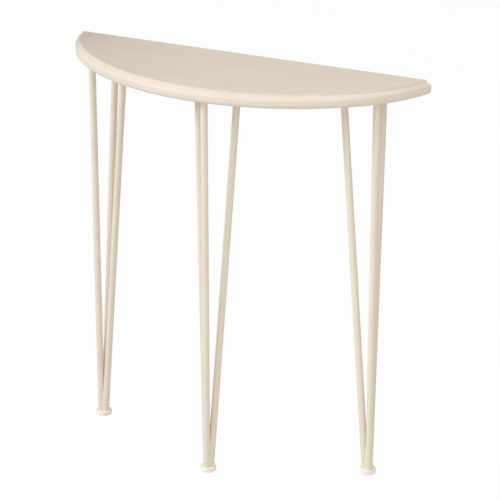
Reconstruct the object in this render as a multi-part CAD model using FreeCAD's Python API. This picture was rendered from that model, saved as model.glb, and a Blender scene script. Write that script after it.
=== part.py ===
import FreeCAD, Part
import math
import os

# Half-round hall table: a straight-backed top with a moulded edge, on three legs of three rods.
# X runs along the straight back edge, -Y is the curved front and Z is up.
# The origin lies on the floor, below the middle of the table. All sizes are in millimetres.

V = FreeCAD.Vector
UP = V(0, 0, 1)

# The table as a whole
table_width = 700.0
table_depth = 224.0
leg_height = 711.0
top_thickness = 25.4

# Plan of the top: a front arc that a tighter arc carries on, at each end, to the back corner.
# The arcs join smoothly, at an angle in degrees from the straight back edge.
end_radius_share = 0.659
join_turn = 49.4

# Moulded edge of the top, from its upper face down, as shares of the thickness: a step, a slope,
# a round nose and a lower quarter round, with an upright between the rounds; the slope falls in degrees
step_share = 0.134
slope_share = 0.114
slope_turn = 26.0
nose_round_share = 0.232
lower_round_share = 0.346

# Foot centres, measured in from the edges of the top, and the side legs' turn in degrees
side_foot_from_end = 73.2
side_foot_from_back = 69.9
front_foot_from_front = 34.2
front_foot_shift = 11.3
side_leg_turn = 49.3

# Rods of a leg: the outer one stands upright, the two inner ones lean towards it
rod_diameter = 12.7
rod_spread_in = 46.2
rod_spread_side = 38.2
bundle_radius = 4.9

# Mounting plate of a leg
plate_thickness = 3.0
plate_margin = 2.0

# Hexagon-head wood screws that hold a plate, one at the middle of each side
screw_diameter = 5.0
screw_length = 16.0
screw_head_width = 8.0
head_sides = 6
screw_head_height = 3.5
screw_clearance = 0.1

# Foot cap, a disc with a socket for the outer rod's end
foot_diameter = 29.5
foot_height = 9.0
foot_floor = 3.0
socket_clearance = 0.15

# Length by which cutting shapes run past what they cut
overrun = 5.0

# Sizes worked out from those above
half_width = table_width / 2
back_y = table_depth / 2
front_y = -table_depth / 2
top_z = leg_height + top_thickness
slope_angle = math.radians(slope_turn)
step_height = step_share * top_thickness
slope_drop = slope_share * top_thickness
nose_round = nose_round_share * top_thickness
lower_round = lower_round_share * top_thickness
nose_inset = nose_round * (1 - math.sin(slope_angle))
edge_inset = slope_drop / math.tan(slope_angle) + nose_inset
edge_band = edge_inset + lower_round
rod_radius = rod_diameter / 2
screw_radius = screw_diameter / 2
head_corner_radius = screw_head_width / 2 / math.cos(math.pi / head_sides)
foot_radius = foot_diameter / 2
plate_bottom = leg_height - plate_thickness
plate_corner_radius = rod_radius + plate_margin

# The front arc's radius is the one for which the end arcs run through the back corners
join_angle = math.radians(join_turn)
centre_share_across = (1 - end_radius_share) * math.cos(join_angle)
centre_share_down = 1 - (1 - end_radius_share) * math.sin(join_angle)
square_share = centre_share_across**2 + centre_share_down**2 - end_radius_share**2
reach = half_width * centre_share_across + table_depth * centre_share_down
corner_square = half_width**2 + table_depth**2
front_radius = (reach - math.sqrt(reach**2 - square_share * corner_square)) / square_share
end_radius = end_radius_share * front_radius
front_centre_y = front_y + front_radius
end_centre_x = centre_share_across * front_radius
end_centre_y = front_y + centre_share_down * front_radius

# Each plan arc: its centre, its radius, and the angles where it starts and ends.
# The end arcs start level with their centres, behind the back edge, which cuts them off.
plan_arcs = [
    (V(end_centre_x, end_centre_y, 0), end_radius, -join_angle, 0),
    (V(0, front_centre_y, 0), front_radius, join_angle - math.pi, -join_angle),
    (V(-end_centre_x, end_centre_y, 0), end_radius, -math.pi, join_angle - math.pi),
]

# Each leg: its name, its foot centre on the floor, and the angle of its turn about the vertical
side_leg_angle = math.radians(side_leg_turn)
side_foot_x = half_width - side_foot_from_end
side_foot_y = back_y - side_foot_from_back
legs = [
    ("left", V(-side_foot_x, side_foot_y, 0), -side_leg_angle),
    ("front", V(front_foot_shift, front_y + front_foot_from_front, 0), 0),
    ("right", V(side_foot_x, side_foot_y, 0), side_leg_angle),
]

# Each rod's axis, in the leg's own frame, where the foot centre is the origin and -Y points outwards:
# where the axis passes the top of the foot cap, and where it meets the plate
third_turn = math.tau / 3
bundle_side = bundle_radius * math.sin(third_turn)
bundle_in = -bundle_radius * math.cos(third_turn)
outer_axis = (V(0, -bundle_radius, foot_height), V(0, -bundle_radius, plate_bottom))
inner_axes = {}
for side in (-1, 1):
    foot_end = V(side * bundle_side, bundle_in, foot_height)
    top_end = V(side * rod_spread_side, rod_spread_in, plate_bottom)
    inner_axes[side] = (foot_end, top_end)
rod_names = {-1: "left_rod", 1: "right_rod"}


def polar(radius, angle):
    return V(radius * math.cos(angle), radius * math.sin(angle), 0)


def line(start, end):
    return Part.LineSegment(start, end).toShape()


def arc_about(centre, radius, start, end):
    points = [centre + polar(radius, angle) for angle in (start, (start + end) / 2, end)]
    return Part.Arc(*points).toShape()


# Round in the XZ plane, from one angle to another about its centre
def round_in_section(centre, radius, start, end):
    points = []
    for angle in (start, (start + end) / 2, end):
        points.append(centre + V(radius * math.cos(angle), 0, radius * math.sin(angle)))
    return Part.Arc(*points).toShape()


def face_of(edges):
    return Part.Face(Part.Wire(Part.__sortEdges__(edges)))


# Section of the moulded edge, with the distance from the arc's centre along X
def edge_section(radius):
    inner = radius - edge_band
    step_x = radius - edge_inset
    slope_top = top_z - step_height
    slope_bottom = slope_top - slope_drop
    nose_z = slope_bottom - nose_round * math.cos(slope_angle)
    lower_x = radius - lower_round
    lower_z = leg_height + lower_round
    return face_of([
        line(V(inner, 0, leg_height), V(inner, 0, top_z)),
        line(V(inner, 0, top_z), V(step_x, 0, top_z)),
        line(V(step_x, 0, top_z), V(step_x, 0, slope_top)),
        line(V(step_x, 0, slope_top), V(radius - nose_inset, 0, slope_bottom)),
        round_in_section(V(radius - nose_round, 0, nose_z), nose_round, math.pi / 2 - slope_angle, 0),
        line(V(radius, 0, nose_z), V(radius, 0, lower_z)),
        round_in_section(V(lower_x, 0, lower_z), lower_round, 0, -math.pi / 2),
        line(V(lower_x, 0, leg_height), V(inner, 0, leg_height)),
    ])


# Moulded edge along one plan arc
def edge_along(centre, radius, start, end):
    section = edge_section(radius)
    section.rotate(V(0, 0, 0), UP, math.degrees(start))
    section.translate(centre)
    return section.revolve(centre, UP, math.degrees(end - start))


# Flat middle of the top, inside the moulded edge
def top_middle():
    edges = []
    for centre, radius, start, end in plan_arcs:
        edges.append(arc_about(centre, radius - edge_band, start, end))
    end_x = end_centre_x + end_radius - edge_band
    edges.append(line(V(-end_x, end_centre_y, 0), V(end_x, end_centre_y, 0)))
    face = face_of(edges)
    face.translate(UP * leg_height)
    return face.extrude(UP * top_thickness)


# Space behind the straight back edge
def behind_back():
    corner = V(-table_width, back_y, leg_height - overrun)
    return Part.makeBox(2 * table_width, table_width, top_thickness + 2 * overrun, corner)


def table_top():
    edge_pieces = [edge_along(*arc) for arc in plan_arcs]
    return top_middle().multiFuse(edge_pieces).cut(behind_back()).removeSplitter()


# Level slab from a height up to the plates, between two places along X
def leg_space(low_z, low_x, high_x):
    corner = V(low_x, -table_width, low_z)
    return Part.makeBox(high_x - low_x, 2 * table_width, plate_bottom - low_z, corner)


# Round bar along a rod's axis, cut level at a height above the floor and at the plate
def bar(axis, radius, low_z):
    foot_end, top_end = axis
    past_end = (top_end - foot_end).normalize() * (foot_height + overrun)
    start = foot_end - past_end
    end = top_end + past_end
    cylinder = Part.makeCylinder(radius, (end - start).Length, start, end - start)
    return cylinder.common(leg_space(low_z, -table_width, table_width))


# Outer rod, its end in the foot cap's socket
def outer_rod():
    return bar(outer_axis, rod_radius, foot_floor)


# Inner rod on one side, standing on the foot cap: coped round the outer rod and mitred against its fellow
def inner_rod(side):
    own_half = leg_space(foot_height, min(0, side * table_width), max(0, side * table_width))
    return bar(inner_axes[side], rod_radius, foot_height).cut(outer_rod()).common(own_half)


# Ends of the rods where they meet the plate
def plate_corners():
    return [outer_axis[1], inner_axes[1][1], inner_axes[-1][1]]


# Middles of the plate's three sides, on its lower face
def screw_places():
    corners = plate_corners()
    return [(corners[i] + corners[i - 1]) / 2 for i in range(len(corners))]


# Hexagon-head screw pointing up, its head below the place where it stands
def screw():
    corners = [polar(head_corner_radius, math.tau * i / head_sides) for i in range(head_sides + 1)]
    head = Part.Face(Part.makePolygon(corners)).extrude(UP * -screw_head_height)
    return head.fuse(Part.makeCylinder(screw_radius, screw_length))


def at_screw_places(shape):
    copies = []
    for place in screw_places():
        copy = shape.copy()
        copy.translate(place)
        copies.append(copy)
    return copies


# Holes that the screws stand in, through the plate and into the top
def screw_holes():
    hole = Part.makeCylinder(screw_radius + screw_clearance, screw_length + screw_clearance)
    return at_screw_places(hole)


# Three-cornered plate, its corners round about the rod ends
def leg_plate():
    corners = plate_corners()
    outline = Part.makePolygon(corners + corners[:1]).makeOffset2D(plate_corner_radius)
    plate = Part.Face(outline).extrude(UP * plate_thickness)
    return plate.cut(screw_holes())


def foot_cap():
    socket = bar(outer_axis, rod_radius + socket_clearance, foot_floor)
    return Part.makeCylinder(foot_radius, foot_height).cut(socket)


# A leg's shape, moved from the leg's own frame to its place under the top
def placed(shape, foot, angle):
    moved = shape.copy()
    turn = FreeCAD.Rotation(UP, math.degrees(angle))
    moved.Placement = FreeCAD.Placement(foot, turn) * moved.Placement
    return moved


def table():
    leg_parts = {"leg_outer_rod": outer_rod(), "leg_plate": leg_plate(), "foot": foot_cap()}
    for side, rod_name in rod_names.items():
        leg_parts["leg_" + rod_name] = inner_rod(side)
    nodes = {}
    screws = []
    top = table_top()
    for leg, foot, angle in legs:
        for name, shape in leg_parts.items():
            nodes[leg + "_" + name] = placed(shape, foot, angle)
        screws += [placed(shape, foot, angle) for shape in at_screw_places(screw())]
        top = top.cut([placed(hole, foot, angle) for hole in screw_holes()])
    nodes["table_top"] = top
    nodes["leg_screws"] = Part.makeCompound(screws)
    return nodes


os.makedirs("parts", exist_ok=True)
for node, shape in table().items():
    shape.exportStep("parts/" + node + ".step")
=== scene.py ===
import math

import bmesh
import bpy
from mathutils import Matrix, Vector


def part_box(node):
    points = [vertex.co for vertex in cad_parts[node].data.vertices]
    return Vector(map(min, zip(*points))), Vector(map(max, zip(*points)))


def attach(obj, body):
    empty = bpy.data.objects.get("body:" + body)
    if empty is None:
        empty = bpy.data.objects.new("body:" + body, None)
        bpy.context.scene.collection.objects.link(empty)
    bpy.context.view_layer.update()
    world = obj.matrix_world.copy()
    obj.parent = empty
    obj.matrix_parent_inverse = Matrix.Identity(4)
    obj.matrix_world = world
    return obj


# Looks of the half-round table, in metres, in the frame of its solids:
# X along the straight back edge, -Y the curved front, Z up, the floor at Z = 0.

legs = ("left", "front", "right")

# Camera at the photograph's viewing angle: its angles in degrees, its focal length and frame in pixels,
# and its sensor's width in millimetres
camera_target = (0.06066, -0.005, 0.41433)
camera_azimuth = 26.451
camera_elevation = 21.641
camera_distance = 3.92264
focal_pixels = 2206.15
frame_pixels = 500
sensor_width = 36.0

# Studio: level 1 is about the light at which a facing surface shows its colour as written
light_target = (0, 0, 0.5)
world_level = 0.467
world_tint = (1.10, 1.0, 0.88)
backdrop_colour = (1, 1, 1)
lamp_size = 1.8
# Each lamp: its azimuth and elevation in degrees, its distance, its level and its tint
lamps = {
    "key": (-47, 32, 6.0, 0.45, (0.94, 1.0, 1.08)),
    "fill": (55, 62, 1.8, 0.265, (0.95, 1.0, 1.05)),
    "bounce": (40, 14, 1.2, 0.29, (0.95, 1.0, 0.97)),
}
floor_size = 12.0
floor_colour = (0.8, 0.8, 0.8)
floor_white_share = 0.96

# Cream paint: its main, pale and warm tones
top_tones = ((0.775, 0.690, 0.598), (0.800, 0.725, 0.640), (0.745, 0.645, 0.535))
rod_tones = ((0.815, 0.73, 0.632), (0.84, 0.765, 0.675), (0.785, 0.69, 0.57))
# Painted shade on level faces, which makes the flat top darker than the rim, most at its left end: its
# tone, two places along X with the shares of it there, and how far a face's normal rises where the
# painted shade begins and where it is full
level_shade_tone = (0.78, 0.755, 0.745)
level_shade_places = (-0.35, -0.05)
level_shade_shares = (1, 0.47)
level_shares = (0.97, 0.995)
# Painted shade round the top's left back corner: its tone, the distances from the corner
# where it is full and where it ends, and the share of it on level faces
corner_shade_tone = (0.72, 0.725, 0.765)
corner_shade_reach = (0.035, 0.11)
corner_shade_level_share = 0.4
# Patches, brush streaks and orange peel of the paint
patch_size = 0.07
patch_detail = 4.0
streak_width = 0.0045
streak_stretch = 30
streak_detail = 3.0
streak_tone_share = 0.2
streak_height = 0.00002
peel_size = 0.0025
peel_height = 0.00002
paint_roughness = (0.5, 0.64)

# Ivory plastic of the feet, a little scuffed
ivory = (0.95, 0.93, 0.865)
ivory_worn = (0.915, 0.885, 0.81)
scuff_size = 0.008
scuff_detail = 5.0
grain_size = 0.0009
grain_height = 0.000008
plastic_roughness = (0.42, 0.6)

# Zinc of the screws
zinc = (0.62, 0.61, 0.58)
zinc_dark = (0.45, 0.44, 0.42)
spangle_size = 0.002
spangle_detail = 4.0
zinc_roughness = (0.3, 0.5)
zinc_grain_size = 0.0004
zinc_grain_height = 0.00001

# Shares of a noise's range that its darkest and brightest parts begin at, and the detail of fine noises
noise_low_share = 0.3
noise_high_share = 0.7
fine_detail = 2.0

# Numbers of the Mix node's sockets for colours: the two that go in and the one that comes out
first_colour_socket = 6
second_colour_socket = 7
mixed_colour_socket = 2

# Weld beads, painted over: round each rod's end under its plate, and along the grooves above a foot,
# where a bead runs on round both rods by a turn in degrees
bead_leg = 0.0017
bead_bulge_share = 0.6
bead_sunk_share = 0.15
bead_steps = 96
bead_ripples = 16
groove_turn = 30
groove_sunk = 0.00015
groove_root_share = 0.5
groove_reach_share = 0.95
groove_steps = 40
groove_ripple = 0.0035
ripple_share = 0.16
curve_steps = 5

# A rod's turn about its leg from the next, in radians
third_turn = math.tau / 3

# Distance within which places count as the same
merge_distance = 0.00001

# Rounding of the sharp edges of the solids, and the angles in degrees that tell a flat from an edge
flat_angle = 0.5
edge_angle = 40
eased_segments = 4
top_eased = 0.0005
foot_eased = 0.0014
plate_eased = 0.0005
screw_eased = 0.0004
# The top is rounded like that only within a depth from its upper face, and a foot only past a share
# of its radius; their other edges get a fine bevel
upper_depth = 0.002
outer_share = 0.9
fine_eased = 0.0001
# Shares of X, Y and Z that a place keeps on the floor below it
floor_place_shares = (1, 1, 0)


def point_around(target, azimuth, elevation, distance):
    turn = math.radians(azimuth)
    rise = math.radians(elevation)
    level = distance * math.cos(rise)
    reach = Vector((level * math.sin(turn), -level * math.cos(turn), distance * math.sin(rise)))
    return Vector(target) + reach


def aim(thing, target):
    thing.rotation_euler = (Vector(target) - thing.location).to_track_quat("-Z", "Y").to_euler()


def add_object(name, data):
    thing = bpy.data.objects.new(name, data)
    bpy.context.scene.collection.objects.link(thing)
    return thing


def add_camera():
    data = bpy.data.cameras.new("camera")
    data.sensor_width = sensor_width
    data.lens = focal_pixels / frame_pixels * sensor_width
    camera = add_object("camera", data)
    camera.location = point_around(camera_target, camera_azimuth, camera_elevation, camera_distance)
    aim(camera, camera_target)
    bpy.context.scene.camera = camera


# Square area lamp, with its power worked out from its level on a facing surface as if it were small
def add_softbox(name, azimuth, elevation, distance, level, tint):
    data = bpy.data.lights.new(name, "AREA")
    data.size = lamp_size
    data.energy = level * (math.pi * distance) ** 2
    data.color = tint
    lamp = add_object(name, data)
    lamp.location = point_around(light_target, azimuth, elevation, distance)
    aim(lamp, light_target)


# Adds a shader or maths node with the given settings, and sets or links its inputs
def add_node(tree, kind, inputs=None, **settings):
    node = tree.nodes.new("ShaderNode" + kind)
    for setting, value in settings.items():
        setattr(node, setting, value)
    for name, value in (inputs or {}).items():
        feed(tree, node, name, value)
    return node


def feed(tree, node, name, value):
    if isinstance(value, bpy.types.NodeSocket):
        tree.links.new(value, node.inputs[name])
    else:
        node.inputs[name].default_value = value


def colour(rgb):
    return (*rgb, 1)


def map_range(tree, value, old, new):
    ends = {"From Min": old[0], "From Max": old[1], "To Min": new[0], "To Max": new[1]}
    return add_node(tree, "MapRange", {"Value": value, **ends}).outputs[0]


def multiply(tree, first, second):
    return add_node(tree, "Math", {0: first, 1: second}, operation="MULTIPLY").outputs[0]


def is_greater(tree, value, limit):
    return add_node(tree, "Math", {0: value, 1: limit}, operation="GREATER_THAN").outputs[0]


def distance_between(tree, first, second):
    return add_node(tree, "VectorMath", {0: first, 1: second}, operation="DISTANCE").outputs["Value"]


def mix_colour(tree, factor, first, second, blend="MIX"):
    inputs = {0: factor, first_colour_socket: first, second_colour_socket: second}
    node = add_node(tree, "Mix", inputs, data_type="RGBA", blend_type=blend)
    return node.outputs[mixed_colour_socket]


def mix_shaders(tree, factor, first, second):
    return add_node(tree, "MixShader", {0: factor, 1: first.outputs[0], 2: second.outputs[0]}).outputs[0]


# 1 for the rays that show the background: camera, mirror and see-through rays
def seen_directly(tree):
    path = add_node(tree, "LightPath")
    shown = path.outputs["Is Camera Ray"]
    for ray in ("Is Glossy Ray", "Is Transmission Ray"):
        shown = add_node(tree, "Math", {0: shown, 1: path.outputs[ray]}, operation="MAXIMUM").outputs[0]
    return shown


def light_world():
    world = bpy.data.worlds.new("studio")
    world.use_nodes = True
    bpy.context.scene.world = world
    tree = world.node_tree
    tree.nodes.clear()
    lighting = add_node(tree, "Background", {"Color": colour(world_tint), "Strength": world_level})
    shown = add_node(tree, "Background", {"Color": colour(backdrop_colour), "Strength": 1.0})
    mixed = mix_shaders(tree, seen_directly(tree), lighting, shown)
    add_node(tree, "OutputWorld", {"Surface": mixed})


def new_material(name):
    material = bpy.data.materials.new(name)
    material.use_nodes = True
    material.node_tree.nodes.clear()
    return material


# White floor that keeps a share of its shading, so the object's shadow shows
def floor_material():
    material = new_material("studio_floor")
    tree = material.node_tree
    matte = add_node(tree, "BsdfDiffuse", {"Color": colour(floor_colour)})
    white = add_node(tree, "Emission", {"Strength": 1.0})
    share = multiply(tree, seen_directly(tree), floor_white_share)
    mixed = mix_shaders(tree, share, matte, white)
    add_node(tree, "OutputMaterial", {"Surface": mixed})
    return material


def add_floor():
    half = floor_size / 2
    corners = [(-half, -half, 0), (half, -half, 0), (half, half, 0), (-half, half, 0)]
    mesh = bpy.data.meshes.new("floor")
    mesh.from_pydata(corners, [], [(0, 1, 2, 3)])
    mesh.materials.append(floor_material())
    add_object("floor", mesh)


# Noise over the object's own coordinates, from 0 to 1, its features of a given size and stretch
def noise(tree, size, detail, stretch=(1, 1, 1)):
    place = add_node(tree, "TexCoord").outputs["Object"]
    scale = [1 / share for share in stretch]
    mapped = add_node(tree, "Mapping", {"Vector": place, "Scale": scale}).outputs[0]
    texture = add_node(tree, "TexNoise", {"Vector": mapped, "Scale": 1 / size, "Detail": detail})
    return map_range(tree, texture.outputs["Fac"], (noise_low_share, noise_high_share), (0, 1))


def bump(tree, height, depth, normal=None):
    node = add_node(tree, "Bump", {"Height": height, "Distance": depth, "Strength": 1.0})
    if normal:
        feed(tree, node, "Normal", normal)
    return node.outputs[0]


def finish_material(tree, inputs):
    shader = add_node(tree, "BsdfPrincipled", inputs)
    add_node(tree, "OutputMaterial", {"Surface": shader.outputs[0]})


# Tone of paint with painted shade: on level faces, most at their left end, and round a corner
def add_painted_shade(tree, tone, corner):
    normal = add_node(tree, "NewGeometry").outputs["Normal"]
    rise = add_node(tree, "SeparateXYZ", {0: normal}).outputs["Z"]
    place = add_node(tree, "TexCoord").outputs["Object"]
    across = add_node(tree, "SeparateXYZ", {0: place}).outputs["X"]
    away = distance_between(tree, place, corner)
    level = map_range(tree, rise, level_shares, (0, 1))
    # painted shade: level faces darker, most at their left end
    level_shade = multiply(tree, level, map_range(tree, across, level_shade_places, level_shade_shares))
    tone = mix_colour(tree, level_shade, tone, colour(level_shade_tone), "MULTIPLY")
    # painted shade round the top's left back corner
    near = map_range(tree, away, corner_shade_reach, (1, 0))
    corner_shade = multiply(tree, near, map_range(tree, level, (0, 1), (1, corner_shade_level_share)))
    return mix_colour(tree, corner_shade, tone, colour(corner_shade_tone), "MULTIPLY")


# Satin cream paint, brushed along one axis, with painted shade on level faces and round a corner
def cream_paint(name, tones, stretch, corner):
    main, pale, warm = tones
    material = new_material(name)
    tree = material.node_tree
    patches = noise(tree, patch_size, patch_detail)
    streaks = noise(tree, streak_width, streak_detail, stretch)
    tone = mix_colour(tree, patches, colour(main), colour(pale))
    streak_share = map_range(tree, streaks, (0, 1), (0, streak_tone_share))
    tone = mix_colour(tree, streak_share, tone, colour(warm))
    # painted shade on level faces and round the top's left back corner
    tone = add_painted_shade(tree, tone, corner)
    peel = noise(tree, peel_size, fine_detail)
    relief = bump(tree, peel, peel_height, bump(tree, streaks, streak_height))
    roughness = map_range(tree, streaks, (0, 1), paint_roughness)
    finish_material(tree, {"Base Color": tone, "Roughness": roughness, "Normal": relief})
    return material


# Moulded ivory plastic
def ivory_plastic():
    material = new_material("ivory_plastic")
    tree = material.node_tree
    scuffs = noise(tree, scuff_size, scuff_detail)
    grain = noise(tree, grain_size, fine_detail)
    finish_material(tree, {
        "Base Color": mix_colour(tree, scuffs, colour(ivory), colour(ivory_worn)),
        "Roughness": map_range(tree, scuffs, (0, 1), plastic_roughness),
        "Normal": bump(tree, grain, grain_height),
    })
    return material


# Zinc-plated steel
def zinc_steel():
    material = new_material("zinc_steel")
    tree = material.node_tree
    spangles = noise(tree, spangle_size, spangle_detail)
    grain = noise(tree, zinc_grain_size, fine_detail)
    finish_material(tree, {
        "Base Color": mix_colour(tree, spangles, colour(zinc), colour(zinc_dark)),
        "Metallic": 1.0,
        "Roughness": map_range(tree, spangles, (0, 1), zinc_roughness),
        "Normal": bump(tree, grain, zinc_grain_height),
    })
    return material


def dress(nodes):
    stretch_x = (streak_stretch, 1, 1)
    stretch_z = (1, 1, streak_stretch)
    top_low, top_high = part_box("table_top")
    corner = Vector((top_low.x, top_high.y, top_high.z))
    materials = {
        "painted_top": cream_paint("cream_top", top_tones, stretch_x, corner),
        "painted_rod": cream_paint("cream_rod", rod_tones, stretch_z, corner),
        "painted_plate": cream_paint("cream_plate", rod_tones, stretch_x, corner),
        "foot_plastic": ivory_plastic(),
        "screw_steel": zinc_steel(),
    }
    for node in nodes.values():
        slot = node.material_slots[0]
        slot.material = materials[slot.material.name]
    for leg in legs:
        add_welds(leg, nodes, materials["painted_rod"])


# Points on a curve that leaves its start and reaches its end along lines through the middle point
def curve(start, middle, end):
    points = []
    for step in range(curve_steps + 1):
        share = step / curve_steps
        points.append(start.lerp(middle, share).lerp(middle.lerp(end, share), share))
    return points


# Skin over rings of points, which join up with each other in a round or are closed at both ends
def skin(mesh, rings, is_round):
    loops = [[mesh.verts.new(point) for point in ring] for ring in rings]
    for index in range(0 if is_round else 1, len(loops)):
        before = loops[index - 1]
        after = loops[index]
        for corner in range(len(after)):
            mesh.faces.new((before[corner - 1], before[corner], after[corner], after[corner - 1]))
    if not is_round:
        mesh.faces.new(loops[0])
        mesh.faces.new(reversed(loops[-1]))


# Axes of a leg's rods, each as its points at the foot cap's top and at the plate, and the rods' radius
def rod_axes(leg, nodes):
    foot_low, foot_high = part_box(leg + "_foot")
    outer_low, outer_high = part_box(leg + "_leg_outer_rod")
    foot = (foot_low + foot_high) / 2
    foot.z = foot_high.z
    reach = (outer_low + outer_high) / 2 - foot
    reach.z = 0
    axes = []
    for rod, turn in (("outer", 0), ("left", -third_turn), ("right", third_turn)):
        low_end = foot + Matrix.Rotation(turn, 3, "Z") @ reach
        axes.append((low_end, rod_top(nodes[leg + "_leg_" + rod + "_rod"])))
    return axes, (outer_high.x - outer_low.x) / 2


# Middle of a rod's level end under its plate
def rod_top(node):
    points = [vertex.co for vertex in node.data.vertices]
    top = max(point.z for point in points)
    ring = [point for point in points if top - point.z < merge_distance]
    middle = []
    for axis in (0, 1):
        places = [point[axis] for point in ring]
        middle.append((min(places) + max(places)) / 2)
    return Vector((*middle, top))


def along_axis(axis, height):
    foot, top = axis
    return foot.lerp(top, (height - foot.z) / (top.z - foot.z))


# Bead round a rod's end, in the corner between the rod and the plate
def plate_bead(mesh, axis, radius):
    top = axis[1]
    rings = []
    for step in range(bead_steps):
        angle = math.tau * step / bead_steps
        out = Vector((math.cos(angle), math.sin(angle), 0))
        size = bead_leg * (1 + ripple_share * math.cos(bead_ripples * angle))
        sunk = bead_sunk_share * size
        low = along_axis(axis, top.z - size) + out * (radius - sunk)
        bulge = bead_bulge_share * size
        middle = top + out * (radius + bulge) - Vector((0, 0, bulge))
        high = top + out * (radius + size) + Vector((0, 0, sunk))
        corner = top + out * (radius - sunk) + Vector((0, 0, sunk))
        rings.append(curve(low, middle, high) + [corner])
    skin(mesh, rings, True)


# Bead in the groove between two rods, away from the third, from the foot cap to near where the two part
def groove_bead(mesh, first, second, third, radius):
    low = first[0].z
    high = parting_height(first, second, radius)
    rings = []
    for step in range(groove_steps + 1):
        share = groove_reach_share * step / groove_steps
        height = low + share * (high - low)
        centres = [along_axis(axis, height) for axis in (first, second, third)]
        turn = math.radians(groove_turn) * (1 - share**2)
        rings.append(groove_section(centres, radius, height, turn))
    skin(mesh, rings, False)


# Height at which two rods that lean apart touch with their full rounds
def parting_height(first, second, radius):
    low, high = first[0].z, first[1].z
    while high - low > merge_distance:
        middle = (low + high) / 2
        if (along_axis(first, middle) - along_axis(second, middle)).length < 2 * radius:
            low = middle
        else:
            high = middle
    return low


# Level section of a groove's bead, which runs smoothly out on both rods
def groove_section(centres, radius, height, turn):
    first, second, third = centres
    middle = (first + second) / 2
    along = (second - first).normalized()
    out = (middle - third - (middle - third).dot(along) * along).normalized()
    half = (second - first).length / 2
    notch = math.acos(min(half / radius, 1))
    reach = notch + turn
    contact = radius - groove_sunk
    side = half - contact * math.cos(reach)
    rise = contact * math.sin(reach)
    ripple = ripple_share * side * math.cos(math.tau * height / groove_ripple)
    crest = rise - side / math.tan(reach) + ripple
    root = groove_root_share * radius * math.sin(notch)
    start, end = (middle + along * edge + out * rise for edge in (-side, side))
    return curve(start, middle + out * crest, end) + [middle + out * root]


# Welds of one leg, as one piece
def add_welds(leg, nodes, paint):
    axes, radius = rod_axes(leg, nodes)
    mesh = bmesh.new()
    for index, axis in enumerate(axes):
        plate_bead(mesh, axis, radius)
        groove_bead(mesh, axis, axes[index - 1], axes[index - 2], radius)
    bmesh.ops.recalc_face_normals(mesh, faces=mesh.faces)
    data = bpy.data.meshes.new(leg + "_leg_welds")
    mesh.to_mesh(data)
    data.shade_smooth()
    data.materials.append(paint)
    welds = add_object(data.name, data)
    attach(welds, "root")


# Geometry nodes with one way in and one way out
def geometry_group(name):
    group = bpy.data.node_groups.new(name, "GeometryNodeTree")
    for way in ("INPUT", "OUTPUT"):
        group.interface.new_socket("Geometry", in_out=way, socket_type="NodeSocketGeometry")
    start = group.nodes.new("NodeGroupInput")
    end = group.nodes.new("NodeGroupOutput")
    return group, start.outputs[0], end.inputs[0]


# Geometry nodes that shade every face smoothly
def smooth_shading():
    group, start, end = geometry_group("smooth_shading")
    smooth = group.nodes.new("GeometryNodeSetShadeSmooth")
    group.links.new(start, smooth.inputs["Geometry"])
    group.links.new(smooth.outputs[0], end)
    return group


# Geometry nodes that mark, for the bevel, the sharp outward edges at places that pass a test
def edge_marks(name, test):
    group, start, end = geometry_group(name)
    turn = group.nodes.new("GeometryNodeInputMeshEdgeAngle").outputs["Signed Angle"]
    outward = is_greater(group, turn, math.radians(edge_angle))
    place = group.nodes.new("GeometryNodeInputPosition").outputs[0]
    mark = group.nodes.new("GeometryNodeStoreNamedAttribute")
    mark.domain = "EDGE"
    mark.inputs["Name"].default_value = "bevel_weight_edge"
    group.links.new(start, mark.inputs["Geometry"])
    group.links.new(multiply(group, outward, test(group, place)), mark.inputs["Value"])
    group.links.new(mark.outputs[0], end)
    return group


# Marks on the edges round the upper face of a node
def upper_marks(name):
    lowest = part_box(name)[1].z - upper_depth

    def test(group, place):
        height = add_node(group, "SeparateXYZ", {0: place}).outputs["Z"]
        return is_greater(group, height, lowest)

    return edge_marks(name + "_marks", test)


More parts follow.
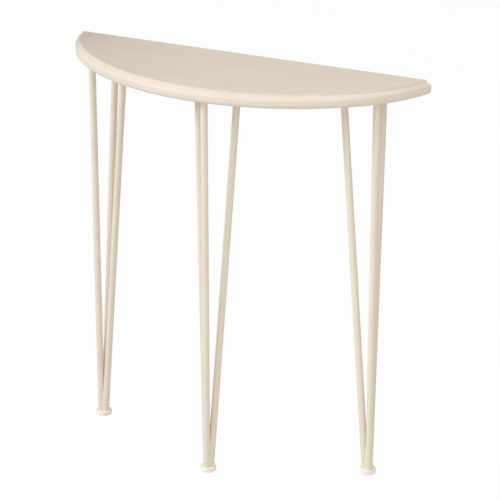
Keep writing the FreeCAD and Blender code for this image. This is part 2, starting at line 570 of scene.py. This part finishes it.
# Marks on the edges round the outside of a level disc
def outer_marks(name):
    low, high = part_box(name)
    middle = (low + high) / 2
    axis = (middle.x, middle.y, 0)
    nearest = outer_share * (high.x - low.x) / 2

    def test(group, place):
        below = add_node(group, "VectorMath", {0: place, 1: floor_place_shares}, operation="MULTIPLY")
        return is_greater(group, distance_between(group, below.outputs[0], axis), nearest)

    return edge_marks(name + "_marks", test)


def add_bevel(node, name, width, limit):
    bevel = node.modifiers.new(name, "BEVEL")
    bevel.width = width
    bevel.segments = eased_segments
    bevel.limit_method = limit
    bevel.angle_limit = math.radians(edge_angle)


# Rounds the sharp edges of a node: its split faces are joined, its flats merged, and its edges bevelled.
# Where marks are given, the marked edges get the width and the others only a fine bevel.
def ease_edges(node, width, shading, marks=None):
    joined = node.modifiers.new("joined", "WELD")
    joined.merge_threshold = merge_distance
    flats = node.modifiers.new("flats", "DECIMATE")
    flats.decimate_type = "DISSOLVE"
    flats.angle_limit = math.radians(flat_angle)
    if marks:
        node.modifiers.new("marks", "NODES").node_group = marks
        add_bevel(node, "eased_marks", width, "WEIGHT")
    add_bevel(node, "eased", fine_eased if marks else width, "ANGLE")
    node.modifiers.new("smooth", "NODES").node_group = shading
    node.modifiers.new("normals", "WEIGHTED_NORMAL")


def ease_nodes(nodes):
    shading = smooth_shading()
    ease_edges(nodes["table_top"], top_eased, shading, upper_marks("table_top"))
    ease_edges(nodes["leg_screws"], screw_eased, shading)
    for leg in legs:
        ease_edges(nodes[leg + "_leg_plate"], plate_eased, shading)
        ease_edges(nodes[leg + "_foot"], foot_eased, shading, outer_marks(leg + "_foot"))


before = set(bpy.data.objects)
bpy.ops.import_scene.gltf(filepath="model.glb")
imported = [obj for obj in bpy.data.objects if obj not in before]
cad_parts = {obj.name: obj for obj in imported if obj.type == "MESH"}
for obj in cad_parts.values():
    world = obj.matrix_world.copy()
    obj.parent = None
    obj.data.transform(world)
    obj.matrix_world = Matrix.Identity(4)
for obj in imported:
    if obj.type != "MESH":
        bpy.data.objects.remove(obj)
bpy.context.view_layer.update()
bpy.context.scene.view_settings.view_transform = "Standard"
add_camera()
light_world()
for lamp, settings in lamps.items():
    add_softbox(lamp, *settings)
add_floor()
dress(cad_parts)
ease_nodes(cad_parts)
